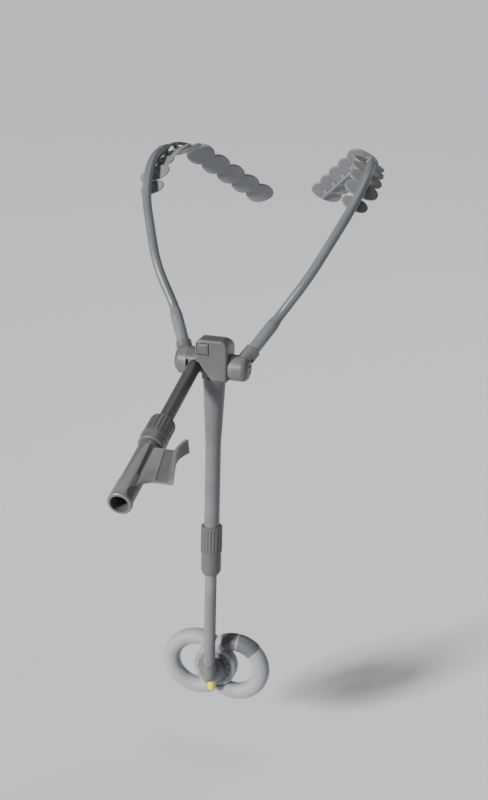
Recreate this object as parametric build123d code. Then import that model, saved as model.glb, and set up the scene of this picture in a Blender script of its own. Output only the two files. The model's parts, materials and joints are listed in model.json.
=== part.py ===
from build123d import *
import math
import os

# A shoulder-worn holder for a trumpet. All lengths are in millimetres.
# Frame: X to the right, Y to the back (towards the wearer), Z up.
# The origin is the centre of the hub's axle, and the axle lies along X.

# ---- Shared clearances ----
FAR = 60.0
SLIDE_GAP = 0.06
SLIT_HALF = 0.8

# ---- Driving dimensions: hub ----
AXLE_R = 5.0
AXLE_GAP = 0.05
HUB_LEFT = -15.5
HUB_RIGHT = 16.0
HUB_BACK = 15.0
HUB_TOP = 26.0
HUB_BOTTOM = -14.0
HUB_EDGE = 4.5
HUB_SIDE_ROUND = 7.0
HUB_FACE_ROUND = 2.5
SLOPE_FRONT = 1.0
SLOPE_LOW = 12.0
NOTCH_TOP = 3.0
NOTCH_RIGHT = 3.0
NOTCH_DEPTH = 6.0
SCREW_Z = 8.5
SCREW_LEFT_X = -6.5
SCREW_RIGHT_X = 11.0
SEAM_Y = 4.0
SWEEP_UP = 22.0
SWEEP_DOWN = 125.0
TAB_EDGE = 1.0
BOSS_INSET = 2.0
KNUCKLE_LEFT = -24.2
KNUCKLE_RIGHT = -10.3
KNUCKLE_R = 11.0
ROOF_R = 13.4
ROOF_LEFT = -24.4
RUN_GAP = 0.4
RIGHT_BARREL_R = 12.4
RIGHT_BARREL_Y = -1.0
RIGHT_BARREL_Z = -2.5
RIGHT_BARREL_ROUND = 6.0
LEFT_BARREL_BEVEL = 4.0
LEFT_BARREL_LEFT = -37.0
LEFT_BARREL_RIGHT = -24.8
RIGHT_BARREL_LEFT = 16.4
RIGHT_BARREL_RIGHT = 34.5
CAP_R = 6.4
CAP_H = 2.4
SCREW_R = 2.0
TAB_LEFT = -13.0
TAB_BOTTOM = 11.5
TAB_W = 11.0
TAB_H = 10.5
TAB_GAP = 0.5
TAB_DEPTH = 3.4
TAB_TRAVEL = 1.2

# ---- Driving dimensions: shoulder arms ----
ARM_ROUTE = [
    Vector(27, 0, 2),
    Vector(53, 35, 42),
    Vector(76, 49, 77),
    Vector(104, 96, 135),
    Vector(112, 137, 164),
    Vector(103, 203, 174),
    Vector(33, 290, 105),
]
BEND_SHARE = 0.45
FIRST_BEND_R = 32.0
TUBE_R = 4.6
TUBE_END_SHARE = 0.36
NECK_LENGTH = 12.0
NECK_R = 2.9
SPINE_R = 1.7
SLEEVE_R = 6.0
SLEEVE_START = 17.4
SLEEVE_END = 53.0
BOSS_R = 7.6
BOSS_END = 17.0
SPIGOT_START = 10.5

# ---- Driving dimensions: shoulder-rest pads ----
PAD_LENGTH = 35.0
PAD_WIDTH = 24.0
PAD_THICK = 2.2
PAD_EDGE = 0.7
FRONT_LEAN = 10.5
TAIL_LEAN = -15.0
FIRST_PAD_SHARE = 0.78
FRONT_COUNT = 6
FRONT_START = 197.8
FRONT_STEP = 21.3
FRONT_OFFSET = 9.3
FRONT_WIDTH = 18.0
TAIL_COUNT = 5
TAIL_START = 325.5
TAIL_STEP = 23.3
TAIL_OFFSET = 3.8
OFFSET_HOLD = 2
FRONT_ACROSS = Vector(0.93, 0.07, -0.36)
TAIL_ACROSS = Vector(0.807, 0.369, -0.461)
FOOT_W = 5.0

# ---- Driving dimensions: belly rod ----
MAIN_TOP_R = 10.9
MAIN_R = 7.6
MAIN_TAPER_END = -82.0
MAIN_END = -202.0
LOWER_R = 5.9
TUBE_WALL = 1.8
LOWER_TOP = -100.0
BORE_TOP = -26.0
LOWER_END = -323.0
NECK_PLUG_R = 6.5
NECK_PLUG_TOP = -6.5
NUT_R = 10.6
NUT_TOP = -168.0
NUT_RIB_END = -195.0
NUT_END = -220.0
NUT_RIBS = 20
RIB_CUT_R = 0.9
COLLET_R = 8.6

# ---- Driving dimensions: belly pad ----
BOSS_Z = -336.0
KNOB_R = 12.8
KNOB_NOSE_R = 6.8
KNOB_FRONT = 1.0
KNOB_SHOULDER = 8.0
KNOB_BACK = 13.5
SHOE_R = 6.6
SHOE_END = -341.5
SHOE_ROUND = 3.0
STUD_R = 4.2
BALL_R = 8.0
BALL_Y = 21.5
BUTTON_Y = 9.0
BUTTON_R = 3.9
BUTTON_ROUND = 2.6
BUTTON_TOP = -343.0
BUTTON_END = -357.5
SPRING_H = 5.0
SPRING_R = 2.6
SPRING_WALL = 1.0
PLATE_R = 22.5
PLATE_FRONT = 18.0
PLATE_BACK = 29.0
PLATE_EDGE = 2.0
SOCKET_RING_R = 17.2
SOCKET_RING_HOLE = 7.0
SOCKET_PROUD = 1.6
SOCKET_SEAT = 2.0
SOCKET_GAP = 0.4
SOCKET_TEETH = 16
TOOTH_W = 1.6
TOOTH_DEPTH = 1.5
RING_MAJOR = 28.2
RING_MINOR = 8.8
RING_CENTRE_X = 20.0
RING_Y = 25.5
COVER_R = 9.15
COVER_UPPER_START = 87.0
COVER_UPPER_SWEEP = 26.0
COVER_SIDE_START = 47.0
COVER_SIDE_SWEEP = 36.0

# ---- Driving dimensions: trumpet rod and cradle ----
ROD_X = -17.3
ROD_DROP = 16.3
ROD_R = 6.7
ROD_END = 190.0
KEYWAY_W = 2.2
KEYWAY_DEPTH = 1.2
KEYWAY_TURN = 30.0
FRONT_NUT_R = 12.2
FRONT_NUT_START = 103.0
FRONT_NUT_RIB_END = 125.0
FRONT_NUT_END = 138.0
SLEEVE_OD_R = 9.9
CRADLE_START = 126.0
MOUTH = 217.0
MOUTH_R = 8.2
MOUTH_DEPTH = 20.0
THREAD_R = 9.4
MOUTH_RING_R = 10.9
MOUTH_RING_T = 3.5
CHANNEL_FAR = 146.0
CHANNEL_NEAR = 189.5
FLOOR_T = 2.6
FLOOR_TOP = 7.0
FLOOR_LEFT = 4.0
FLOOR_RIGHT = 38.4
WALL_T = 2.6
WALL_RISE = 11.9
WALL_BEND_R = 3.5
WALL_PLAN = [(38.4, 189.5), (36.4, 181), (33.4, 168), (32.2, 157), (34.6, 149.7), (38.4, 144)]
WALL_CREST = [(189.5, 1.4), (178, 3.3), (167, 5.7), (156, 8.6), (144, 11.9)]
SKIN_FRONT = [(9.1, 217), (6.0, 212), (5.0, 207.5), (5.6, 203), (7.4, 199), (10.6, 195),
              (15, 191.8), (21, 189.5)]
SKIN_BACK = [(21, 189.5), (21, 186), (5.5, 186), (3.6, 146), (0, 146), (-2.5, 160), (-3.5, 178), (-5, 188),
             (-8, 194), (-11, 198), (-11, 217), (9.1, 217)]
FLOOR_LINE = [(16.6, 145), (17.5, 145), (23.5, 190.5), (22.6, 190.5)]
FLOOR_LINE_DEPTH = 0.6


def x_rod(x0, x1, radius, y=0.0, z=0.0):
    """A cylinder along X between two X positions."""
    plane = Plane(origin=(x0, y, z), x_dir=(0, 1, 0), z_dir=(1, 0, 0))
    return extrude(plane * Circle(radius), x1 - x0)


def y_rod(y0, y1, radius, x=0.0, z=0.0):
    """A cylinder along Y between two Y positions."""
    plane = Plane(origin=(x, y0, z), x_dir=(1, 0, 0), z_dir=(0, 1, 0))
    return extrude(plane * Circle(radius), y1 - y0)


def z_rod(z0, z1, radius, x=0.0, y=0.0):
    """A cylinder along Z between two Z positions."""
    plane = Plane(origin=(x, y, z0), x_dir=(1, 0, 0), z_dir=(0, 0, 1))
    return extrude(plane * Circle(radius), z1 - z0)


def block(x0, x1, y0, y1, z0, z1):
    """A box between two opposite corners."""
    centre = ((x0 + x1) / 2, (y0 + y1) / 2, (z0 + z1) / 2)
    return Pos(*centre) * Box(x1 - x0, y1 - y0, z1 - z0)


def z_turned(*points):
    """A solid turned about Z from (radius, z) corners."""
    outline = [(r, 0, z) for r, z in points]
    face = make_face(Polyline(*outline, close=True))
    return revolve(face, Axis.Z)


def export(name, shape):
    """Write one named piece."""
    shape.label = name
    export_step(shape, "parts/" + name + ".step")


def mirrored(shape):
    """The left-hand copy of a right-hand piece."""
    return mirror(shape, about=Plane.YZ)


# ---- Shoulder arm geometry ----
def bend_radius(i):
    """The radius of the tangent arc at one corner of the arm's route."""
    if i == 1:
        return FIRST_BEND_R
    back = ARM_ROUTE[i - 1] - ARM_ROUTE[i]
    ahead = ARM_ROUTE[i + 1] - ARM_ROUTE[i]
    turn = math.radians(180 - back.get_angle(ahead))
    return BEND_SHARE * min(back.length, ahead.length) / math.tan(turn / 2)


def route(start, end, first, last):
    """Straight runs and tangent arcs from start, past corners first to last, to end."""
    corners = [ARM_ROUTE[i] for i in range(first, last + 1)]
    radii = [bend_radius(i) for i in range(first, last + 1)]
    return FilletPolyline(start, *corners, end, radius=radii)


def along(i, distance):
    """A point on the run that leaves corner i, at a distance from that corner."""
    run = ARM_ROUTE[i + 1] - ARM_ROUTE[i]
    return ARM_ROUTE[i] + run.normalized() * distance


def swept(path, radius):
    """A round bar along a path."""
    plane = Plane(origin=path @ 0, z_dir=path % 0)
    return sweep(plane * Circle(radius), path=path)


def cone_between(start, end, r0, r1):
    """A round taper between two points."""
    run = end - start
    plane = Plane(origin=start, z_dir=run)
    cone = Cone(r0, r1, run.length, align=(Align.CENTER, Align.CENTER, Align.MIN))
    return plane * cone


ARM_PLANE = Plane(origin=ARM_ROUTE[0], z_dir=ARM_ROUTE[1] - ARM_ROUTE[0])
LAST_CORNER = len(ARM_ROUTE) - 2
TUBE_END_RUN = 4
TUBE_END = along(TUBE_END_RUN, (ARM_ROUTE[5] - ARM_ROUTE[4]).length * TUBE_END_SHARE)
NECK_END = along(TUBE_END_RUN, (ARM_ROUTE[5] - ARM_ROUTE[4]).length * TUBE_END_SHARE + NECK_LENGTH)


def arm_rod(start, end, radius, radius_end=None):
    """A straight bar on the arm's first run, between two distances from its start."""
    height = end - start
    if radius_end is None:
        return ARM_PLANE * Pos(0, 0, start + height / 2) * Cylinder(radius, height)
    return ARM_PLANE * Pos(0, 0, start + height / 2) * Cone(radius, radius_end, height)


def make_arm_tube():
    """The bent tube of one arm, with the spigot that turns in its barrel."""
    path = route(along(0, SPIGOT_START), TUBE_END, 1, TUBE_END_RUN)
    return swept(path, TUBE_R) + cone_between(TUBE_END, NECK_END, TUBE_R, NECK_R)


def make_arm_sleeve():
    """The thick grip sleeve over the lower end of one arm tube."""
    body = arm_rod(SLEEVE_START, SLEEVE_END - 7, SLEEVE_R)
    nose = arm_rod(SLEEVE_END - 7, SLEEVE_END, SLEEVE_R, TUBE_R + 0.6)
    return body + nose - arm_rod(SLEEVE_START - 1, SLEEVE_END + 1, TUBE_R)


def make_spine():
    """The flexible spine that carries the pads past the end of the arm tube."""
    path = route(NECK_END, ARM_ROUTE[-1], 5, LAST_CORNER)
    spine = swept(path, SPINE_R)
    tip = Pos(*ARM_ROUTE[-1]) * Sphere(SPINE_R)
    return spine + tip


ARM_PATH = route(ARM_ROUTE[0], ARM_ROUTE[-1], 1, LAST_CORNER)


def pad_station(i):
    """The distance along the arm of one pad."""
    if i < FRONT_COUNT:
        return FRONT_START + FRONT_STEP * i
    return TAIL_START + TAIL_STEP * (i - FRONT_COUNT)


def pad_offset(i):
    """How far one pad's middle stands off the arm: less and less towards the tail."""
    share = (i - OFFSET_HOLD) / (FRONT_COUNT - OFFSET_HOLD)
    share = min(max(share, 0.0), 1.0)
    return FRONT_OFFSET * (1 - share) + TAIL_OFFSET * share


def make_pad(i, holder, tail_side):
    """One oval shoulder pad with the foot that joins it to the arm."""
    share = pad_station(i) / ARM_PATH.length
    tangent = ARM_PATH % share
    blend = i / (FRONT_COUNT + TAIL_COUNT - 1)
    across = FRONT_ACROSS * (1 - blend) + TAIL_ACROSS * blend
    across = (across - tangent * across.dot(tangent)).normalized()
    inward = tangent.cross(across)
    is_tail = i >= FRONT_COUNT
    lean = math.radians(TAIL_LEAN if is_tail else FRONT_LEAN)
    offset = pad_offset(i) * (tail_side if is_tail else 1)
    size = FIRST_PAD_SHARE if i == 0 else 1.0
    normal = inward * math.cos(lean) + tangent * math.sin(lean)
    centre = ARM_PATH @ share + inward * offset
    plane = Plane(origin=centre, x_dir=across, z_dir=normal)
    outline = SlotOverall(PAD_LENGTH * size, (PAD_WIDTH if is_tail else FRONT_WIDTH) * size)
    pad = extrude(plane * outline, PAD_THICK / 2, both=True)
    pad = fillet(pad.edges().filter_by(GeomType.CIRCLE), PAD_EDGE)
    upright = Plane(origin=ARM_PATH @ share, x_dir=across, z_dir=inward)
    foot = upright * Pos(0, 0, offset / 2) * Box(FOOT_W, FOOT_W, abs(offset))
    return pad + foot - holder


# ---- Hub ----
def lower_front_wedge(radius):
    """The sector that the trumpet rod sweeps through, in the YZ plane."""
    up = math.radians(SWEEP_UP)
    down = math.radians(-SWEEP_DOWN)
    corners = [(0, 0), (radius * math.cos(up), radius * math.sin(up)), (radius, -radius)]
    corners.append((radius * math.cos(down), radius * math.sin(down)))
    outline = [(0, -y, z) for y, z in corners]
    face = make_face(Polyline(*outline, close=True))
    return Pos(ROOF_LEFT - 1, 0, 0) * extrude(face, KNUCKLE_RIGHT + RUN_GAP - ROOF_LEFT + 1, dir=(1, 0, 0))


def hub_block():
    """The rounded block of the hub, with its top sloping down to the back."""
    body = block(HUB_LEFT, HUB_RIGHT, -HUB_BACK, HUB_BACK, HUB_BOTTOM, HUB_TOP)
    over = HUB_TOP + 1
    back = HUB_BACK + 1
    corners = [(0, SLOPE_FRONT, HUB_TOP), (0, back, SLOPE_LOW), (0, back, over), (0, SLOPE_FRONT, over)]
    slope = extrude(make_face(Polyline(*corners, close=True)), HUB_RIGHT - HUB_LEFT + 2, dir=(1, 0, 0))
    body = body - Pos(HUB_LEFT - 1, 0, 0) * slope
    ridges = [e for e in body.edges().filter_by(Axis.Y) if e.center().Z > HUB_TOP - 1]
    body = fillet(ridges, HUB_SIDE_ROUND)
    body = fillet(body.faces().sort_by(Axis.Y)[0].edges(), HUB_FACE_ROUND)
    uprights = [e for e in body.edges().filter_by(Axis.Z) if e.center().Y > 0]
    return fillet(uprights, HUB_EDGE)


def rod_notch():
    """The dark corner notch beside the root of the trumpet rod."""
    low = HUB_BOTTOM - 1
    left = KNUCKLE_RIGHT - 1
    corners = [(left, 0, NOTCH_TOP), (NOTCH_RIGHT, 0, low), (left, 0, low)]
    face = make_face(Polyline(*corners, close=True))
    return Pos(0, -HUB_BACK - 1, 0) * extrude(face, NOTCH_DEPTH + 1, dir=(0, 1, 0))


def make_hub_body():
    """The whole outside of the hub, before it is split into shell and cover."""
    roof = x_rod(ROOF_LEFT, HUB_LEFT + HUB_EDGE + 1, ROOF_R)
    body = hub_block() + roof
    body = body - x_rod(ROOF_LEFT - 1, KNUCKLE_RIGHT + RUN_GAP, KNUCKLE_R + RUN_GAP)
    body = body - lower_front_wedge(FAR)
    body = body - rod_notch()
    body = body - x_rod(ROOF_LEFT - 1, HUB_RIGHT + 1, AXLE_R)
    body = body - z_rod(HUB_BOTTOM - 1, NECK_PLUG_TOP, NECK_PLUG_R)
    pocket = block(TAB_LEFT - TAB_GAP, TAB_LEFT + TAB_W + TAB_GAP,
                   -HUB_BACK - 1, -HUB_BACK + TAB_DEPTH + TAB_TRAVEL + RUN_GAP,
                   TAB_BOTTOM - TAB_GAP, TAB_BOTTOM + TAB_H + TAB_GAP)
    return body - pocket


def make_lock_tab():
    """The snap tab in the front of the hub."""
    front = -HUB_BACK - 0.6
    top = TAB_BOTTOM + TAB_H
    tab = block(TAB_LEFT, TAB_LEFT + TAB_W, front, -HUB_BACK + TAB_DEPTH, TAB_BOTTOM, top)
    tab = fillet(tab.faces().sort_by(Axis.Y)[0].edges(), TAB_EDGE)
    lip = x_rod(TAB_LEFT + 2.4, TAB_LEFT + TAB_W - 1.6, 0.9, y=front, z=top - 1.8)
    return tab + lip


def hub_screw_places():
    """The X and Z of the two screws that hold the rear cover."""
    return [(SCREW_LEFT_X, SCREW_Z), (SCREW_RIGHT_X, SCREW_Z)]


def make_hub_screws():
    """The two rear-cover screws, one group of separate solids."""
    screws = []
    for x, z in hub_screw_places():
        shank = y_rod(-2.0, HUB_BACK - 2.0, SCREW_R, x=x, z=z)
        head = y_rod(HUB_BACK - 2.0, HUB_BACK - 0.2, SCREW_R * 1.8, x=x, z=z)
        socket = y_rod(HUB_BACK - 1.4, HUB_BACK + 1.0, SCREW_R * 0.8, x=x, z=z)
        screws.append(shank + head - socket)
    return Compound(children=screws)


def hub_screw_holes():
    """The holes for the rear-cover screws."""
    holes = []
    for x, z in hub_screw_places():
        holes.append(y_rod(-2.0, HUB_BACK - 2.0, SCREW_R, x=x, z=z))
        holes.append(y_rod(HUB_BACK - 2.0, HUB_BACK + 1.0, SCREW_R * 1.8, x=x, z=z))
    return holes


def outer_edges(barrel, x):
    """The round edges of a barrel at one X position."""
    return [e for e in barrel.edges().filter_by(GeomType.CIRCLE) if abs(e.center().X - x) < 0.01]


def make_right_barrel():
    """The right barrel: it turns on the axle and carries the right arm."""
    barrel = x_rod(RIGHT_BARREL_LEFT, RIGHT_BARREL_RIGHT, RIGHT_BARREL_R, y=RIGHT_BARREL_Y, z=RIGHT_BARREL_Z)
    barrel = fillet(outer_edges(barrel, RIGHT_BARREL_RIGHT), RIGHT_BARREL_ROUND)
    boss = arm_rod(0, BOSS_END, BOSS_R)
    boss = boss & block(RIGHT_BARREL_LEFT + BOSS_INSET, FAR, -FAR, FAR, -FAR, FAR)
    barrel = barrel + boss
    barrel = barrel - x_rod(0, FAR, AXLE_R + AXLE_GAP)
    barrel = barrel - x_rod(RIGHT_BARREL_RIGHT - CAP_H, FAR, CAP_R + RUN_GAP)
    return barrel - arm_rod(SPIGOT_START - 0.5, BOSS_END + 1, TUBE_R + AXLE_GAP)


def make_left_barrel():
    """The left barrel: it turns on the axle and carries the left arm."""
    barrel = x_rod(LEFT_BARREL_LEFT, LEFT_BARREL_RIGHT, ROOF_R)
    barrel = chamfer(outer_edges(barrel, LEFT_BARREL_LEFT), LEFT_BARREL_BEVEL)
    boss = mirrored(arm_rod(0, BOSS_END, BOSS_R))
    boss = boss & block(-FAR, LEFT_BARREL_RIGHT, -FAR, FAR, -FAR, FAR)
    barrel = barrel + boss
    barrel = barrel - x_rod(-FAR, 0, AXLE_R + AXLE_GAP)
    barrel = barrel - x_rod(-FAR, LEFT_BARREL_LEFT + CAP_H, CAP_R + RUN_GAP)
    return barrel - mirrored(arm_rod(SPIGOT_START - 0.5, BOSS_END + 1, TUBE_R + AXLE_GAP))


def make_axle():
    """The axle through the hub, the rod's knuckle and both barrels."""
    return x_rod(LEFT_BARREL_LEFT + CAP_H, RIGHT_BARREL_RIGHT - CAP_H, AXLE_R)


def make_axle_cap(x_inner, outward):
    """A round cap screwed on one end of the axle."""
    x_outer = x_inner + outward * CAP_H
    cap = x_rod(min(x_inner, x_outer), max(x_inner, x_outer), CAP_R)
    edges = [e for e in cap.edges().filter_by(GeomType.CIRCLE) if abs(e.center().X - x_outer) < 0.01]
    cap = fillet(edges, 1.2)
    slot_x = x_outer - outward * 0.5
    return cap - Pos(slot_x, 0, 0) * Box(1.2, 9.0, 1.8)


# ---- Belly rod ----
def make_main_tube():
    """The upper tube of the belly rod, with the plug that sits in the hub."""
    bore = LOWER_R + SLIDE_GAP
    tube = z_turned((0, HUB_BOTTOM), (MAIN_TOP_R, HUB_BOTTOM), (MAIN_TOP_R, HUB_BOTTOM - 3),
                    (MAIN_R, MAIN_TAPER_END), (MAIN_R, MAIN_END), (0, MAIN_END))
    tube = tube + z_rod(HUB_BOTTOM - 1, NECK_PLUG_TOP, NECK_PLUG_R)
    tube = tube - z_rod(MAIN_END - 1, BORE_TOP, bore)
    slot = block(-9, 9, -SLIT_HALF, SLIT_HALF, MAIN_END - 1, MAIN_END + 22)
    return tube - slot


def rib_cuts(radius, rib_start, rib_end, count):
    """The cutters that leave ribs round a collar nut."""
    cuts = []
    for i in range(count):
        angle = math.radians(360 / count * i)
        x = radius * math.cos(angle)
        y = radius * math.sin(angle)
        cuts.append(z_rod(min(rib_start, rib_end), max(rib_start, rib_end), RIB_CUT_R, x=x, y=y))
    return cuts


def make_main_nut():
    """The ribbed collar nut that clamps the lower tube."""
    nut = z_turned((0, NUT_TOP), (NUT_R - 1, NUT_TOP), (NUT_R, NUT_TOP - 1), (NUT_R, NUT_RIB_END),
                   (NUT_R - 0.6, NUT_RIB_END - 1), (NUT_R - 0.6, NUT_END + 4),
                   (NUT_R - 2.6, NUT_END), (0, NUT_END))
    nut = nut - z_rod(MAIN_END, NUT_TOP + 1, MAIN_R + SLIDE_GAP)
    nut = nut - z_rod(MAIN_END - 14, MAIN_END, COLLET_R + 0.4)
    nut = nut - z_rod(NUT_END - 1, MAIN_END, LOWER_R + 0.4)
    for cut in rib_cuts(NUT_R + 0.2, NUT_TOP - 2, NUT_RIB_END + 1, NUT_RIBS):
        nut = nut - cut
    return nut


def make_main_collet():
    """The split ring inside the main nut."""
    ring = z_rod(MAIN_END - 13, MAIN_END - 0.3, COLLET_R)
    ring = ring - z_rod(MAIN_END - 14, MAIN_END, LOWER_R + SLIDE_GAP)
    return ring - block(0, 20, -SLIT_HALF, SLIT_HALF, MAIN_END - 14, MAIN_END + 1)


def make_lower_tube():
    """The lower tube, with a flat groove down its right-hand side."""
    tube = z_rod(LOWER_END, LOWER_TOP, LOWER_R) - z_rod(LOWER_END, LOWER_TOP + 1, LOWER_R - TUBE_WALL)
    groove = block(LOWER_R - 0.9, LOWER_R + 1, -0.9, 0.9, LOWER_END - 1, LOWER_TOP + 1)
    return tube - groove


def make_end_knob():
    """The domed knob at the foot of the lower tube, with its ball stud."""
    outline = [(0, KNOB_FRONT, 0), (KNOB_NOSE_R, KNOB_FRONT, 0), (KNOB_R, KNOB_SHOULDER, 0),
               (KNOB_R, KNOB_BACK, 0), (0, KNOB_BACK, 0)]
    knob = revolve(make_face(Polyline(*outline, close=True)), Axis.Y)
    knob = Pos(0, 0, BOSS_Z) * knob
    shoe = z_rod(SHOE_END, LOWER_END, SHOE_R)
    toe = [e for e in shoe.edges().filter_by(GeomType.CIRCLE) if e.center().Z < SHOE_END + 1]
    shoe = fillet(toe, SHOE_ROUND)
    plug = z_rod(LOWER_END - 1, LOWER_END + 14, LOWER_R - TUBE_WALL)
    stud = y_rod(KNOB_BACK - 1, BALL_Y, STUD_R, z=BOSS_Z)
    ball = Pos(0, BALL_Y, BOSS_Z) * Sphere(BALL_R)
    piece = knob + shoe + plug + stud + ball
    return piece - z_rod(BUTTON_END - 1, BUTTON_TOP + SPRING_H, BUTTON_R + AXLE_GAP, y=BUTTON_Y)


def make_release_button():
    """The bright push button that points down out of the knob."""
    button = z_rod(BUTTON_END, BUTTON_TOP, BUTTON_R, y=BUTTON_Y)
    tip = [e for e in button.edges().filter_by(GeomType.CIRCLE) if abs(e.center().Z - BUTTON_END) < 0.01]
    return fillet(tip, BUTTON_ROUND)


def make_button_spring():
    """The short spring washer stack above the button."""
    spring = z_rod(BUTTON_TOP, BUTTON_TOP + SPRING_H, SPRING_R, y=BUTTON_Y)
    return spring - z_rod(BUTTON_TOP - 1, BUTTON_TOP + SPRING_H + 1, SPRING_R - SPRING_WALL, y=BUTTON_Y)


# ---- Belly pad ----
def make_pad_plate():
    """The round carrier behind the knob, with the ball's socket."""
    plate = y_rod(PLATE_FRONT, PLATE_BACK, PLATE_R, z=BOSS_Z)
    rim = [e for e in plate.edges().filter_by(GeomType.CIRCLE) if abs(e.center().Y - PLATE_FRONT) < 0.01]
    plate = fillet(rim, PLATE_EDGE)
    socket = Pos(0, BALL_Y, BOSS_Z) * Sphere(BALL_R + SOCKET_GAP)
    seat = y_rod(PLATE_FRONT - 1, PLATE_FRONT + SOCKET_SEAT, SOCKET_RING_R + AXLE_GAP, z=BOSS_Z)
    return plate - socket - seat


def make_socket_ring():
    """The toothed ring that keeps the ball in its socket."""
    ring = y_rod(PLATE_FRONT - SOCKET_PROUD, PLATE_FRONT + SOCKET_SEAT, SOCKET_RING_R, z=BOSS_Z)
    ring = ring - y_rod(PLATE_FRONT - 3, PLATE_FRONT + 3, SOCKET_RING_HOLE, z=BOSS_Z)
    ring = ring - Pos(0, BALL_Y, BOSS_Z) * Sphere(BALL_R + SOCKET_GAP)
    for i in range(SOCKET_TEETH):
        slot = Pos(SOCKET_RING_R, PLATE_FRONT - SOCKET_PROUD, 0) * Box(TOOTH_DEPTH * 2, SOCKET_SEAT, TOOTH_W)
        turn = Rot(0, 360 / SOCKET_TEETH * i, 0)
        ring = ring - Pos(0, 0, BOSS_Z) * turn * slot
    return ring


def ring_torus(minor):
    """A full ring of the belly pad about its own centre."""
    return Rot(90, 0, 0) * Torus(RING_MAJOR, minor)


def make_pad_ring(side):
    """One soft C-shaped half of the belly pad."""
    ring = Pos(side * RING_CENTRE_X, RING_Y, BOSS_Z) * ring_torus(RING_MINOR)
    edge = side * FAR
    half = block(min(edge, 0), max(edge, 0), -FAR, FAR, BOSS_Z - FAR, BOSS_Z + FAR)
    ring = ring & half
    return ring - y_rod(RING_Y - RING_MINOR - 1, PLATE_BACK, PLATE_R, z=BOSS_Z)


def make_ring_cover(start, sweep_angle):
    """A short cover sleeve round the right-hand ring."""
    section = Plane.XZ * Pos(RING_MAJOR, 0) * (Circle(COVER_R) - Circle(RING_MINOR))
    band = revolve(section, Axis.Z, revolution_arc=sweep_angle)
    band = Rot(90, 0, 0) * Rot(0, 0, start) * band
    band = Pos(RING_CENTRE_X, RING_Y, BOSS_Z) * band
    return band - y_rod(RING_Y - COVER_R - 1, PLATE_BACK, PLATE_R, z=BOSS_Z)


# ---- Trumpet rod ----
ROD_TILT = math.radians(ROD_DROP)
ROD_DIR = Vector(0, -math.cos(ROD_TILT), -math.sin(ROD_TILT))
ROD_PLANE = Plane(origin=(ROD_X, 0, 0), x_dir=(1, 0, 0), z_dir=ROD_DIR)


def rod_bar(t0, t1, radius):
    """A cylinder along the trumpet rod, between two distances from the axle."""
    return ROD_PLANE * Pos(0, 0, (t0 + t1) / 2) * Cylinder(radius, t1 - t0)


def rod_turned(*points):
    """A solid turned about the trumpet rod from (radius, distance) corners."""
    outline = [(r, 0, t) for r, t in points]
    return ROD_PLANE * revolve(make_face(Polyline(*outline, close=True)), Axis.Z)


def rod_block(x0, x1, v0, v1, t0, t1):
    """A box in the rod's own axes: x to the right, v up, t outward."""
    return ROD_PLANE * block(x0, x1, v0, v1, t0, t1)


def make_trumpet_rod():
    """The front rod with its knuckle on the axle and a keyway down its upper left side."""
    eye = x_rod(KNUCKLE_LEFT, KNUCKLE_RIGHT, KNUCKLE_R)
    piece = eye + rod_bar(2, ROD_END, ROD_R)
    piece = piece - x_rod(KNUCKLE_LEFT - 1, KNUCKLE_RIGHT + 1, AXLE_R + AXLE_GAP)
    keyway = block(-ROD_R - 1, -ROD_R + KEYWAY_DEPTH, -KEYWAY_W / 2, KEYWAY_W / 2, 20, ROD_END + 1)
    return piece - ROD_PLANE * Rot(0, 0, -KEYWAY_TURN) * keyway


def make_front_nut():
    """The ribbed collar nut that clamps the cradle sleeve on the rod."""
    nut = rod_turned((0, FRONT_NUT_START), (FRONT_NUT_R - 1, FRONT_NUT_START),
                     (FRONT_NUT_R, FRONT_NUT_START + 1), (FRONT_NUT_R, FRONT_NUT_RIB_END),
                     (FRONT_NUT_R + 0.5, FRONT_NUT_RIB_END + 1), (FRONT_NUT_R + 0.5, FRONT_NUT_RIB_END + 4),
                     (FRONT_NUT_R, FRONT_NUT_RIB_END + 5), (FRONT_NUT_R - 0.4, FRONT_NUT_END - 1),
                     (FRONT_NUT_R - 1.2, FRONT_NUT_END), (0, FRONT_NUT_END))
    nut = nut - rod_bar(FRONT_NUT_START - 1, FRONT_NUT_END + 1, ROD_R + 0.4)
    nut = nut - rod_bar(CRADLE_START, FRONT_NUT_END + 1, THREAD_R + SLIDE_GAP)
    nut = nut - rod_bar(CRADLE_START - 14, CRADLE_START + 1, COLLET_R + 0.4)
    for cut in rib_cuts(FRONT_NUT_R + 0.2, FRONT_NUT_START + 2, FRONT_NUT_RIB_END - 1, NUT_RIBS):
        nut = nut - ROD_PLANE * cut
    return nut


def make_front_collet():
    """The split ring inside the front nut."""
    ring = rod_bar(CRADLE_START - 13, CRADLE_START - 0.3, COLLET_R)
    ring = ring - rod_bar(CRADLE_START - 14, CRADLE_START, ROD_R + SLIDE_GAP)
    return ring - rod_block(0, 20, -SLIT_HALF, SLIT_HALF, CRADLE_START - 14, CRADLE_START)


def make_cradle_sleeve():
    """The sleeve that slides on the rod and ends in the open mouth with its thick ring."""
    sleeve = rod_turned((0, CRADLE_START), (THREAD_R, CRADLE_START), (THREAD_R, FRONT_NUT_END + 0.4),
                        (SLEEVE_OD_R, FRONT_NUT_END + 1.6), (SLEEVE_OD_R, MOUTH - MOUTH_RING_T),
                        (MOUTH_RING_R, MOUTH - MOUTH_RING_T), (MOUTH_RING_R, MOUTH - 0.8),
                        (MOUTH_RING_R - 0.8, MOUTH), (0, MOUTH))
    sleeve = sleeve - rod_bar(CRADLE_START - 1, MOUTH + 1, ROD_R + SLIDE_GAP)
    return sleeve - rod_bar(MOUTH - MOUTH_DEPTH, MOUTH + 1, MOUTH_R)


def upright_prism(edges, low, high):
    """A solid between two heights whose plan lies in the sleeve's own plane."""
    return Pos(0, low, 0) * extrude(make_face(edges), high - low, dir=(0, 1, 0))


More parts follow.
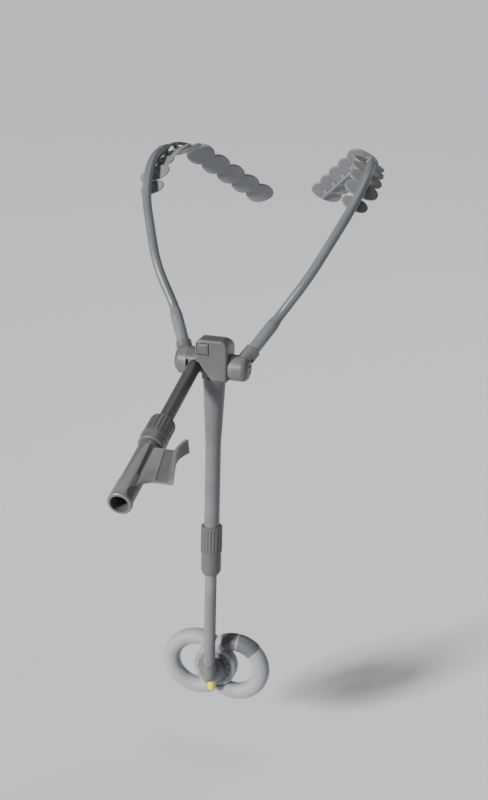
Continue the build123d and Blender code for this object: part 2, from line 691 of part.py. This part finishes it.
def in_plan(points):
    """Plan points (across, along) as points in the sleeve's own axes."""
    return [(x, 0, t) for x, t in points]


def make_channel_wall():
    """The curved right-hand wall at its full height."""
    inner = [(x - WALL_T, t) for x, t in WALL_PLAN]
    near = Line(in_plan(inner)[0], in_plan(WALL_PLAN)[0])
    far = Line(in_plan(WALL_PLAN)[-1], in_plan(inner)[-1])
    band = near + Spline(*in_plan(WALL_PLAN)) + far + Spline(*in_plan(inner[::-1]))
    return upright_prism(band, FLOOR_TOP - FLOOR_T, FLOOR_TOP + WALL_RISE)


def channel_envelope():
    """The side view of the channel: low at the near end, rising to a horn at the far end."""
    low = FLOOR_TOP - FLOOR_T - 1
    crest = [(0, FLOOR_TOP + height, t) for t, height in WALL_CREST]
    ends = Polyline(crest[-1], (0, low, WALL_CREST[-1][0]), (0, low, WALL_CREST[0][0]), crest[0])
    return extrude(make_face(Spline(*crest) + ends), FLOOR_RIGHT + 1, dir=(1, 0, 0))


def make_channel_floor():
    """The flat floor, as wide as the curved wall lets it be."""
    near_left = (FLOOR_LEFT, CHANNEL_NEAR)
    far_left = (FLOOR_LEFT, CHANNEL_FAR)
    far_right = (WALL_PLAN[-1][0] - WALL_T, CHANNEL_FAR)
    back = Polyline(*in_plan([WALL_PLAN[-1], far_right, far_left, near_left, WALL_PLAN[0]]))
    return upright_prism(Spline(*in_plan(WALL_PLAN)) + back, FLOOR_TOP - FLOOR_T, FLOOR_TOP)


def make_cradle_channel():
    """The J-shaped channel that carries the instrument, and the skin that roots it on the sleeve."""
    channel = make_channel_floor() + make_channel_wall()
    curved = channel.edges().filter_by(GeomType.BSPLINE)
    bend = [e for e in curved if abs(e.center().Y - FLOOR_TOP) < 0.01]
    inner = min(bend, key=lambda edge: edge.center().X)
    channel = fillet(inner, WALL_BEND_R) & channel_envelope()

    outline = Spline(*in_plan(SKIN_FRONT)) + Polyline(*in_plan(SKIN_BACK))
    plan = upright_prism(outline, 0, MOUTH_RING_R + 1)
    shell = Pos(0, 0, (CHANNEL_FAR + MOUTH) / 2) * Cylinder(MOUTH_RING_R, MOUTH - CHANNEL_FAR)
    apron = block(0, FLOOR_RIGHT, FLOOR_TOP - FLOOR_T, FLOOR_TOP, CHANNEL_FAR, MOUTH - MOUTH_RING_T)
    channel = channel + (plan & shell) + (plan & apron)

    plan_line = Polyline(*in_plan(FLOOR_LINE), close=True)
    line = upright_prism(plan_line, FLOOR_TOP - FLOOR_LINE_DEPTH, FLOOR_TOP + 1)
    channel = ROD_PLANE * (channel - line)
    channel = channel - rod_bar(CHANNEL_FAR - 1, MOUTH, SLEEVE_OD_R)
    return channel - rod_bar(MOUTH - MOUTH_RING_T, MOUTH + 1, MOUTH_RING_R + 1)


def make_rod_end_plug():
    """The plug that closes the end of the trumpet rod inside the sleeve."""
    return rod_bar(ROD_END, ROD_END + 3, ROD_R)


def main():
    os.makedirs("parts", exist_ok=True)

    hub = make_hub_body()
    for hole in hub_screw_holes():
        hub = hub - hole
    export("hub_front_shell", hub & block(-FAR, FAR, -FAR, SEAM_Y, -FAR, FAR))
    export("hub_rear_cover", hub & block(-FAR, FAR, SEAM_Y, FAR, -FAR, FAR))
    export("hub_screws", make_hub_screws())
    export("hub_axle", make_axle())
    export("lock_tab", make_lock_tab())
    export("left_axle_cap", make_axle_cap(LEFT_BARREL_LEFT + CAP_H, -1))
    export("right_axle_cap", make_axle_cap(RIGHT_BARREL_RIGHT - CAP_H, 1))
    export("left_barrel", make_left_barrel())
    export("right_barrel", make_right_barrel())

    tube = make_arm_tube()
    sleeve = make_arm_sleeve()
    spine = make_spine()
    holder = tube + spine
    export("right_arm_tube", tube)
    export("right_arm_sleeve", sleeve)
    export("right_spine", spine)
    export("left_arm_tube", mirrored(tube))
    export("left_arm_sleeve", mirrored(sleeve))
    export("left_spine", mirrored(spine))
    for i in range(FRONT_COUNT + TAIL_COUNT):
        name = "shoulder_pad_" + str(i + 1).zfill(2)
        export("right_" + name, make_pad(i, holder, -1))
        export("left_" + name, mirrored(make_pad(i, holder, 1)))

    export("main_tube", make_main_tube())
    export("main_nut", make_main_nut())
    export("main_collet", make_main_collet())
    export("lower_tube", make_lower_tube())
    export("end_knob", make_end_knob())
    export("release_button", make_release_button())
    export("button_spring", make_button_spring())
    export("pad_plate", make_pad_plate())
    export("socket_ring", make_socket_ring())
    export("left_pad_ring", make_pad_ring(-1))
    export("right_pad_ring", make_pad_ring(1))
    export("ring_cover_upper", make_ring_cover(COVER_UPPER_START, COVER_UPPER_SWEEP))
    export("ring_cover_side", make_ring_cover(COVER_SIDE_START, COVER_SIDE_SWEEP))

    export("trumpet_rod", make_trumpet_rod())
    export("rod_end_plug", make_rod_end_plug())
    export("front_nut", make_front_nut())
    export("front_collet", make_front_collet())
    export("cradle_sleeve", make_cradle_sleeve())
    export("cradle_channel", make_cradle_channel())


main()
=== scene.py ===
import json
import math

import bmesh
import bpy
from mathutils import Matrix, Vector


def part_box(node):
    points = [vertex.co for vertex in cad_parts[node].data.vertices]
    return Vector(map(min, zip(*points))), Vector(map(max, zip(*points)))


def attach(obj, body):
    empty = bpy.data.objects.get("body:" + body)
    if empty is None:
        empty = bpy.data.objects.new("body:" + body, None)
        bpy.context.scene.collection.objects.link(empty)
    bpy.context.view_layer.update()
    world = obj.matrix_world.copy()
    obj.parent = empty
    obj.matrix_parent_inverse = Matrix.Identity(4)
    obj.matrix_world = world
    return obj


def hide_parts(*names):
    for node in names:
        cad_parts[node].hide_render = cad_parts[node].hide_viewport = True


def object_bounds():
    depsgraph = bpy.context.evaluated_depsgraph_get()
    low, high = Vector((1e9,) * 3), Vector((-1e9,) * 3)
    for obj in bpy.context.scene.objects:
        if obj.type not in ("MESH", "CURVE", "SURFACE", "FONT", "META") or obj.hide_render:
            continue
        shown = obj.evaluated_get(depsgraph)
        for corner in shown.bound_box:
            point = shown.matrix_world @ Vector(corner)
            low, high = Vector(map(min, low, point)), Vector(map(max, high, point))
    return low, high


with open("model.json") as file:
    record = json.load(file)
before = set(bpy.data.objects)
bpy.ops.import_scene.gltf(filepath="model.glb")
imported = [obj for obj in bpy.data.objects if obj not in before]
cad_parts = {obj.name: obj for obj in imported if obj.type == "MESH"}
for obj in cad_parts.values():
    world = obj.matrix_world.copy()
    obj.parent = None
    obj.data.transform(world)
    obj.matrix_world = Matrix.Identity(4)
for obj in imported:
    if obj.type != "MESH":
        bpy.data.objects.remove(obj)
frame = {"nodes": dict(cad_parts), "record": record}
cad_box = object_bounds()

scene = bpy.context.scene
nodes = frame["nodes"]

# Lengths are in metres and angles in radians, unless a comment says otherwise.
MM = 0.001


# ---- Camera: a little from the right and above, and rolled slightly ----
AZIMUTH = math.radians(15.46)
ELEVATION = math.radians(19.59)
ROLL = math.radians(1.495)
DISTANCE = 1.330
# The camera looks at a point this far to the right of the origin and this far up.
TARGET_ACROSS = 0.02838
TARGET_UP = -0.03667
# The sensor and the focal length are in millimetres.
SENSOR_WIDTH = 36.0
FOCAL_LENGTH = 63.0027
CLIP_START = 0.05
CLIP_END = 20


def make_camera():
    """Places the camera and makes it the scene's camera."""
    ca, sa = math.cos(AZIMUTH), math.sin(AZIMUTH)
    ce, se = math.cos(ELEVATION), math.sin(ELEVATION)
    back = Vector((sa * ce, -ca * ce, se))
    right = Vector((ca, sa, 0))
    up = back.cross(right)
    turned_right = right * math.cos(ROLL) + up * math.sin(ROLL)
    turned_up = up * math.cos(ROLL) - right * math.sin(ROLL)
    place = right * TARGET_ACROSS + Vector((0, 0, TARGET_UP)) + back * DISTANCE
    data = bpy.data.cameras.new("camera")
    data.sensor_fit = "AUTO"
    data.sensor_width = SENSOR_WIDTH
    data.lens = FOCAL_LENGTH
    data.clip_start = CLIP_START
    data.clip_end = CLIP_END
    camera = bpy.data.objects.new("camera", data)
    rotation = Matrix((turned_right, turned_up, back)).transposed().to_4x4()
    camera.matrix_world = Matrix.Translation(place) @ rotation
    scene.collection.objects.link(camera)
    scene.camera = camera


# ---- Stage: pale floor and soft studio light ----
FLOOR_DROP = 0.06
FLOOR_REACH = 300.0
FLOOR_COLOUR = (0.8, 0.81, 0.83, 1)
FLOOR_ROUGHNESS = 0.9
LIGHT_AIM = (0, 0, -0.1)
WORLD_COLOUR = (0.9, 0.93, 1.0, 1)
WORLD_STRENGTH = 0.14


def make_stage():
    """A wide pale floor under the object."""
    low = cad_box[0][2] - FLOOR_DROP
    mesh = bmesh.new()
    corners = [(-1, -1), (1, -1), (1, 1), (-1, 1)]
    mesh.faces.new([mesh.verts.new((x * FLOOR_REACH, y * FLOOR_REACH, low)) for x, y in corners])
    data = bpy.data.meshes.new("floor")
    mesh.to_mesh(data)
    mesh.free()
    floor = bpy.data.objects.new("floor", data)
    scene.collection.objects.link(floor)
    mat = bpy.data.materials.new("floor")
    mat.use_nodes = True
    shader = mat.node_tree.nodes["Principled BSDF"]
    shader.inputs["Base Color"].default_value = FLOOR_COLOUR
    shader.inputs["Roughness"].default_value = FLOOR_ROUGHNESS
    data.materials.append(mat)


def place_light(name, data, place, target):
    """Adds a light that shines from one point towards another."""
    light = bpy.data.objects.new(name, data)
    direction = Vector(target) - Vector(place)
    light.rotation_euler = direction.to_track_quat("-Z", "Y").to_euler()
    light.location = place
    scene.collection.objects.link(light)


def sun_light(name, place, target, strength, spread):
    """A soft sun, with its spread in degrees."""
    data = bpy.data.lights.new(name, "SUN")
    data.energy = strength
    data.angle = math.radians(spread)
    place_light(name, data, place, target)


def area_light(name, place, target, width, power, colour):
    """A soft square light."""
    data = bpy.data.lights.new(name, "AREA")
    data.shape = "SQUARE"
    data.size = width
    data.energy = power
    data.color = colour
    place_light(name, data, place, target)


def make_lights():
    """Key light from the left front, a weak fill, and soft light from above and behind."""
    sun_light("key", (-1.35, -1.9, 0.85), LIGHT_AIM, strength=6.2, spread=12)
    area_light("fill", (1.7, -1.4, 0.2), LIGHT_AIM, width=1.6, power=1.5, colour=(0.93, 0.96, 1.0))
    area_light("top", (0.1, 0.5, 1.9), (0, 0.1, 0), width=1.0, power=9, colour=(1.0, 1.0, 1.0))
    area_light("back", (1.6, 2.2, 1.2), LIGHT_AIM, width=1.4, power=7, colour=(0.96, 0.98, 1.0))
    world = bpy.data.worlds.new("studio")
    world.use_nodes = True
    background = world.node_tree.nodes["Background"]
    background.inputs["Color"].default_value = WORLD_COLOUR
    background.inputs["Strength"].default_value = WORLD_STRENGTH
    scene.world = world


# ---- Materials ----
MOTTLE_SCALE = 38.0
MOTTLE_RANGE = (0.3, 0.7)
WEAR_RANGE = (0.53, 0.62)
WEAR_LIFT = 0.01
ROUGHNESS_DROP = 0.07
ROUGHNESS_RISE = 0.09
LEAST_ROUGHNESS = 0.02
GRAIN_DEPTH = 0.4 * MM
SHEEN_ROUGHNESS = 0.5


def add_noise(tree, place, scale, detail):
    """Noise in the object's own coordinates."""
    noise = tree.nodes.new("ShaderNodeTexNoise")
    noise.inputs["Scale"].default_value = scale
    noise.inputs["Detail"].default_value = detail
    tree.links.new(place.outputs["Object"], noise.inputs["Vector"])
    return noise.outputs["Fac"]


def add_ramp(tree, value, low, high):
    """A ramp that rises while a value goes from low to high."""
    ramp = tree.nodes.new("ShaderNodeValToRGB")
    ramp.color_ramp.elements[0].position = low
    ramp.color_ramp.elements[1].position = high
    tree.links.new(value, ramp.inputs["Fac"])
    return ramp


def add_mottle(tree, patches, colour, mottle):
    """The colour, a little darker and lighter from patch to patch."""
    ramp = add_ramp(tree, patches, *MOTTLE_RANGE)
    darker = [c * (1 - mottle) for c in colour]
    lighter = [min(c * (1 + mottle), 1) for c in colour]
    ramp.color_ramp.elements[0].color = (*darker, 1)
    ramp.color_ramp.elements[1].color = (*lighter, 1)
    return ramp.outputs["Color"]


def add_wear(tree, patches, base, colour, wear):
    """The base colour, worn paler in patches along the outer edges."""
    geometry = tree.nodes.new("ShaderNodeNewGeometry")
    edges = add_ramp(tree, geometry.outputs["Pointiness"], *WEAR_RANGE)
    worn = tree.nodes.new("ShaderNodeMath")
    worn.operation = "MULTIPLY"
    tree.links.new(edges.outputs["Color"], worn.inputs[0])
    tree.links.new(patches, worn.inputs[1])
    mix = tree.nodes.new("ShaderNodeMix")
    mix.data_type = "RGBA"
    pale = [min(c * (1 + wear) + WEAR_LIFT, 1) for c in colour]
    tree.links.new(worn.outputs[0], mix.inputs["Factor"])
    tree.links.new(base, mix.inputs["A"])
    mix.inputs["B"].default_value = (*pale, 1)
    return mix.outputs["Result"]


def plastic(name, colour, roughness, grain=0.05, grain_scale=900.0, mottle=0.1, wear=0.0, sheen=0.0):
    """Moulded plastic: fine grain in the bump, slow mottling in the colour and the roughness."""
    mat = bpy.data.materials.new(name)
    mat.use_nodes = True
    tree = mat.node_tree
    shader = tree.nodes["Principled BSDF"]
    place = tree.nodes.new("ShaderNodeTexCoord")
    fine = add_noise(tree, place, grain_scale, detail=4)
    patches = add_noise(tree, place, MOTTLE_SCALE, detail=5)

    base = add_mottle(tree, patches, colour, mottle)
    if wear:
        base = add_wear(tree, patches, base, colour, wear)
    tree.links.new(base, shader.inputs["Base Color"])

    rough = tree.nodes.new("ShaderNodeMapRange")
    rough.inputs["To Min"].default_value = max(roughness - ROUGHNESS_DROP, LEAST_ROUGHNESS)
    rough.inputs["To Max"].default_value = min(roughness + ROUGHNESS_RISE, 1)
    tree.links.new(patches, rough.inputs["Value"])
    tree.links.new(rough.outputs["Result"], shader.inputs["Roughness"])

    bump = tree.nodes.new("ShaderNodeBump")
    bump.inputs["Strength"].default_value = grain
    bump.inputs["Distance"].default_value = GRAIN_DEPTH
    tree.links.new(fine, bump.inputs["Height"])
    tree.links.new(bump.outputs["Normal"], shader.inputs["Normal"])
    if sheen:
        shader.inputs["Sheen Weight"].default_value = sheen
        shader.inputs["Sheen Roughness"].default_value = SHEEN_ROUGHNESS
    return mat


def metal(name, colour, roughness):
    """Turned steel with a fine grain."""
    mat = plastic(name, colour, roughness, grain=0.12, grain_scale=1500.0, mottle=0.06)
    mat.node_tree.nodes["Principled BSDF"].inputs["Metallic"].default_value = 1.0
    return mat


MATERIALS = {
    "arm_plastic": plastic("arm_plastic", (0.12, 0.129, 0.134), 0.34, wear=0.8),
    "hub_plastic": plastic("hub_plastic", (0.085, 0.087, 0.089), 0.38, wear=1.2),
    "tube_plastic": plastic("tube_plastic", (0.118, 0.122, 0.126), 0.34, wear=0.7),
    "collar_plastic": plastic("collar_plastic", (0.09, 0.092, 0.094), 0.4, wear=1.1),
    "rod_plastic": plastic("rod_plastic", (0.046, 0.048, 0.051), 0.36, wear=0.8),
    "dark_plastic": plastic("dark_plastic", (0.12, 0.12, 0.125), 0.45, wear=1.0),
    "rest_plastic": plastic("rest_plastic", (0.15, 0.155, 0.16), 0.42, wear=1.5),
    "ring_foam": plastic("ring_foam", (0.28, 0.293, 0.307), 0.55, grain=0.25, grain_scale=1600.0, sheen=0.2),
    "plate_plastic": plastic("plate_plastic", (0.26, 0.27, 0.283), 0.5, wear=0.6),
    "cover_plastic": plastic("cover_plastic", (0.1, 0.104, 0.108), 0.4, wear=0.7),
    "button_yellow": plastic("button_yellow", (0.8, 0.74, 0.0), 0.32, grain=0.02, mottle=0.03),
    "steel": metal("steel", (0.55, 0.55, 0.56), 0.3),
}


def dress_nodes():
    """Gives every CAD node its slot's material."""
    slots = {s["node"]: s["material_slot"] for s in frame["record"]["subparts"]}
    for name, obj in nodes.items():
        mat = MATERIALS[slots[name]]
        if not obj.material_slots:
            obj.data.materials.append(mat)
        for material_slot in obj.material_slots:
            material_slot.link = "OBJECT"
            material_slot.material = mat


# ---- Mesh helpers ----
def new_piece(name, mesh, slot, body, replaced=(), levels=0):
    """Links a mesh as a smooth-shaded piece that rides on a body."""
    data = bpy.data.meshes.new(name)
    bmesh.ops.recalc_face_normals(mesh, faces=mesh.faces)
    mesh.to_mesh(data)
    mesh.free()
    for polygon in data.polygons:
        polygon.use_smooth = True
    obj = bpy.data.objects.new(name, data)
    scene.collection.objects.link(obj)
    data.materials.append(MATERIALS[slot])
    if levels:
        modifier = obj.modifiers.new("subdivision", "SUBSURF")
        modifier.levels = levels
        modifier.render_levels = levels
    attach(obj, body)
    if replaced:
        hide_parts(*replaced)
    return obj


def loft(mesh, rings):
    """Joins rings of points, each a closed loop, into one skin with a fan of faces at both ends."""
    rows = [[mesh.verts.new(p) for p in ring] for ring in rings]
    count = len(rows[0])
    for a, b in zip(rows, rows[1:]):
        for i in range(count):
            j = (i + 1) % count
            mesh.faces.new((a[i], a[j], b[j], b[i]))
    for row in (rows[0], rows[-1]):
        middle = mesh.verts.new(sum((v.co for v in row), Vector()) / count)
        for i in range(count):
            mesh.faces.new((row[i], row[(i + 1) % count], middle))


def oval(centre, along, across, half_long, half_short, count, power):
    """Points round an oval that is fuller than an ellipse when its power is over 2."""
    points = []
    for i in range(count):
        angle = 2 * math.pi * i / count
        c, s = math.cos(angle), math.sin(angle)
        x = math.copysign(abs(c) ** (2 / power), c) * half_long
        y = math.copysign(abs(s) ** (2 / power), s) * half_short
        points.append(centre + along * x + across * y)
    return points


def body_of_node(node):
    """The body that a CAD node belongs to."""
    for body, members in frame["record"]["behaviour"]["bodies"].items():
        if node in members:
            return body
    raise KeyError(node)


# ---- Shoulder pads ----
PAD_AROUND = 40
PAD_POWER = 2.35
PAD_THICK = 2.2 * MM
PAD_EDGE = 0.72 * MM
FACE_FLATNESS = 0.2 * MM
NORMAL_DIGITS = 2
# Share of the pad's half sizes, and height over its flat face in millimetres.
PAD_PROFILE = [(0.30, -0.30), (0.62, -0.22), (0.80, -0.06), (0.90, 0.02), (0.955, 0.0), (0.985, -0.22),
               (1.0, -1.0), (0.985, -1.75), (0.95, -2.1), (0.86, -2.2), (0.5, -2.1), (0.25, -2.05)]
NECK_AROUND = 20
NECK_POWER = 3.0
NECK_OVERLAP = 0.3 * MM
NECK_FOOT_DEPTH = PAD_THICK + 0.9 * MM
# Share of the way from the pad to the arm, and half sizes in millimetres.
NECK_SECTIONS = [(0.0, 4.6, 3.6), (0.25, 3.2, 2.8), (0.7, 2.5, 2.5), (1.0, 2.6, 2.7), (1.12, 2.6, 2.7)]


def largest_flat_face(data):
    """The normal of a mesh's largest flat face, its level along the normal, and its points."""
    groups = {}
    for polygon in data.polygons:
        key = tuple(round(c, NORMAL_DIGITS) for c in polygon.normal)
        groups.setdefault(key, []).append(polygon)
    best = max(groups.values(), key=lambda group: sum(p.area for p in group))
    normal = sum((p.normal * p.area for p in best), Vector()).normalized()
    level = best[0].center.dot(normal)
    picked = {i for p in best if abs(p.center.dot(normal) - level) < FACE_FLATNESS for i in p.vertices}
    return normal, level, [data.vertices[i].co.copy() for i in picked]


def extent(points, direction):
    """The lowest and the highest place of some points along a direction."""
    places = [p.dot(direction) for p in points]
    return min(places), max(places)


def widest_direction(points, normal):
    """The direction across a flat face in which its points reach furthest, to a degree."""
    side = normal.orthogonal().normalized()
    other = normal.cross(side)
    widest = None
    for degrees in range(180):
        angle = math.radians(degrees)
        direction = side * math.cos(angle) + other * math.sin(angle)
        low, high = extent(points, direction)
        if widest is None or high - low > widest[0]:
            widest = (high - low, direction)
    return widest[1]


def pad_axes(node):
    """Centre, long axis, short axis and outward normal of a pad's flat face, with its half sizes."""
    normal, level, points = largest_flat_face(nodes[node].data)
    along = widest_direction(points, normal)
    across = normal.cross(along)
    centre = normal * level
    half_sizes = []
    for axis in (along, across):
        low, high = extent(points, axis)
        centre += axis * (low + high) / 2
        half_sizes.append((high - low) / 2)
    return centre, along, across, normal, half_sizes


def loft_neck(mesh, node, centre, along, across, normal):
    """Adds the neck that joins a pad to its arm, where the CAD pad has one."""
    foot = [v.co for v in nodes[node].data.vertices if (v.co - centre).dot(normal) < -NECK_FOOT_DEPTH]
    if not foot:
        return
    end = sum(foot, Vector()) / len(foot)
    start = centre - normal * (PAD_THICK - NECK_OVERLAP)
    rings = []
    for share, half_long, half_short in NECK_SECTIONS:
        middle = start + (end - start) * share
        rings.append(oval(middle, along, across, half_long * MM, half_short * MM, NECK_AROUND, NECK_POWER))
    loft(mesh, rings)


def make_pad(node):
    """A dished oval pad with a rounded lip, and its neck."""
    centre, along, across, normal, half_sizes = pad_axes(node)
    half_long, half_short = [half + PAD_EDGE for half in half_sizes]
    rings = []
    for share, height in PAD_PROFILE:
        middle = centre + normal * height * MM
        long, short = half_long * share, half_short * share
        rings.append(oval(middle, along, across, long, short, PAD_AROUND, PAD_POWER))
    mesh = bmesh.new()
    loft(mesh, rings)
    loft_neck(mesh, node, centre, along, across, normal)
    new_piece(node + "_skin", mesh, "rest_plastic", body_of_node(node), (node,), levels=1)


def make_pads():
    """All shoulder pads."""
    for name in sorted(n for n in nodes if "_shoulder_pad_" in n):
        make_pad(name)


# ---- Belly rings ----
RING_SECTIONS = 120
RING_AROUND = 36
RING_INSET = 0.985
LONG_SWELL = 0.010
LONG_WAVES = 5
SHORT_SWELL = 0.006
SHORT_WAVES = 11
SEAM_DEPTH = 0.35 * MM
SEAM_HALF_ANGLE = 0.07
PLATE_CLEARANCE = 0.1 * MM


def ring_swell(angle, side):
    """The foam's thickness at an angle round the ring, as a share of its usual one."""
    long_wave = LONG_SWELL * math.sin(angle * LONG_WAVES + side)
    short_wave = SHORT_SWELL * math.sin(angle * SHORT_WAVES + 2 * side)
    return 1 + long_wave + short_wave


def seam_depth(turn):
    """Depth of the faint seam at an angle round the foam tube. It runs along the inside of the ring."""
    return math.exp(-((turn - math.pi) / SEAM_HALF_ANGLE) ** 2) * SEAM_DEPTH


def move_off_plate(point, middle_z, plate_back, clear_radius):
    """Moves a point of a ring straight out from the carrier plate's axis, if it is inside the plate's rim."""
    from_axis = math.hypot(point.x, point.z - middle_z)
    if point.y < plate_back and from_axis < clear_radius:
        push = clear_radius / from_axis
        point.x *= push
        point.z = middle_z + (point.z - middle_z) * push


def make_ring(node, side):
    """One soft C-shaped ring: a round foam tube with a faint seam and slight unevenness."""
    low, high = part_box(node)
    minor = (high[1] - low[1]) / 2
    outer = (high[2] - low[2]) / 2
    major = outer - minor
    reach = high[0] if side > 0 else -low[0]
    centre = Vector((side * (reach - outer), (low[1] + high[1]) / 2, (low[2] + high[2]) / 2))
    opening = math.acos(-abs(centre.x) / major)
    plate_low, plate_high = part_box("pad_plate")
    clear_radius = (plate_high[0] - plate_low[0]) / 2 + PLATE_CLEARANCE
    rings = []
    for i in range(RING_SECTIONS + 1):
        angle = -opening + 2 * opening * i / RING_SECTIONS
        ring = []
        for j in range(RING_AROUND):
            turn = 2 * math.pi * j / RING_AROUND
            radius = minor * RING_INSET * ring_swell(angle, side) - seam_depth(turn)
            out = major + radius * math.cos(turn)
            x, y, z = side * out * math.cos(angle), radius * math.sin(turn), out * math.sin(angle)
            point = centre + Vector((x, y, z))
            move_off_plate(point, centre.z, plate_high[1], clear_radius)
            if side * point.x < 0:
                point.x = 0
            ring.append(point)
        rings.append(ring)
    mesh = bmesh.new()
    loft(mesh, rings)
    obj = new_piece(node + "_foam", mesh, "ring_foam", "belly_pad", (node,), levels=1)


# ---- Plain ticks in place of lettering, on the upper tube's taper ----
TICK_COUNT = 9
TICK_TOP = -22 * MM
TICK_STEP = 3.4 * MM
TICK_ANGLE = math.radians(-104)
TICK_LIFT = 0.05 * MM
TICK_TILTS = (-0.3, 0.5)
TICK_HALF = 1.5 * MM
TICK_GROWTH = 0.5 * MM
# Share of the tick's half length, and half width in millimetres.
TICK_SECTIONS = [(-1.0, 0.22), (-0.8, 0.42), (0.8, 0.42), (1.0, 0.22)]
TICK_FOOT = -0.4
TICK_SHOULDER = 0.12
TICK_CREST = 0.28
TAPER_TOP = -17 * MM
TAPER_LENGTH = 65 * MM
TAPER_TOP_R = 10.3 * MM
TAPER_LOW_R = 7.6 * MM


def loft_tick(mesh, z, tilt, half):
    """One raised tick that follows the round of the tube."""
    radius = TAPER_TOP_R - (TAPER_TOP_R - TAPER_LOW_R) * (TAPER_TOP - z) / TAPER_LENGTH
    out = Vector((math.cos(TICK_ANGLE), math.sin(TICK_ANGLE), 0))
    side = Vector((-out.y, out.x, 0))
    axis = (side * math.cos(tilt) + Vector((0, 0, 1)) * math.sin(tilt)).normalized()
    flat = out.cross(axis)
    rings = []
    for share, wide in TICK_SECTIONS:
        centre = out * (radius + TICK_LIFT) + axis * half * share
        centre.z += z
        centre -= out * (half * share) ** 2 / (2 * radius) * abs(math.cos(tilt))
        outline = ((-wide, TICK_FOOT), (-wide, TICK_SHOULDER), (0, TICK_CREST), (wide, TICK_SHOULDER),
                   (wide, TICK_FOOT))
        rings.append([centre + flat * x * MM + out * y * MM for x, y in outline])
    loft(mesh, rings)


def make_ticks():
    """Plain raised ticks down the front of the upper tube."""
    mesh = bmesh.new()
    for i in range(TICK_COUNT):
        loft_tick(mesh, TICK_TOP - TICK_STEP * i, TICK_TILTS[i % 2], TICK_HALF + TICK_GROWTH * (i % 3))
    new_piece("tube_ticks", mesh, "rod_plastic", "hub")


make_camera()
make_stage()
make_lights()
dress_nodes()
make_pads()
make_ring("left_pad_ring", -1)
make_ring("right_pad_ring", 1)
make_ticks()
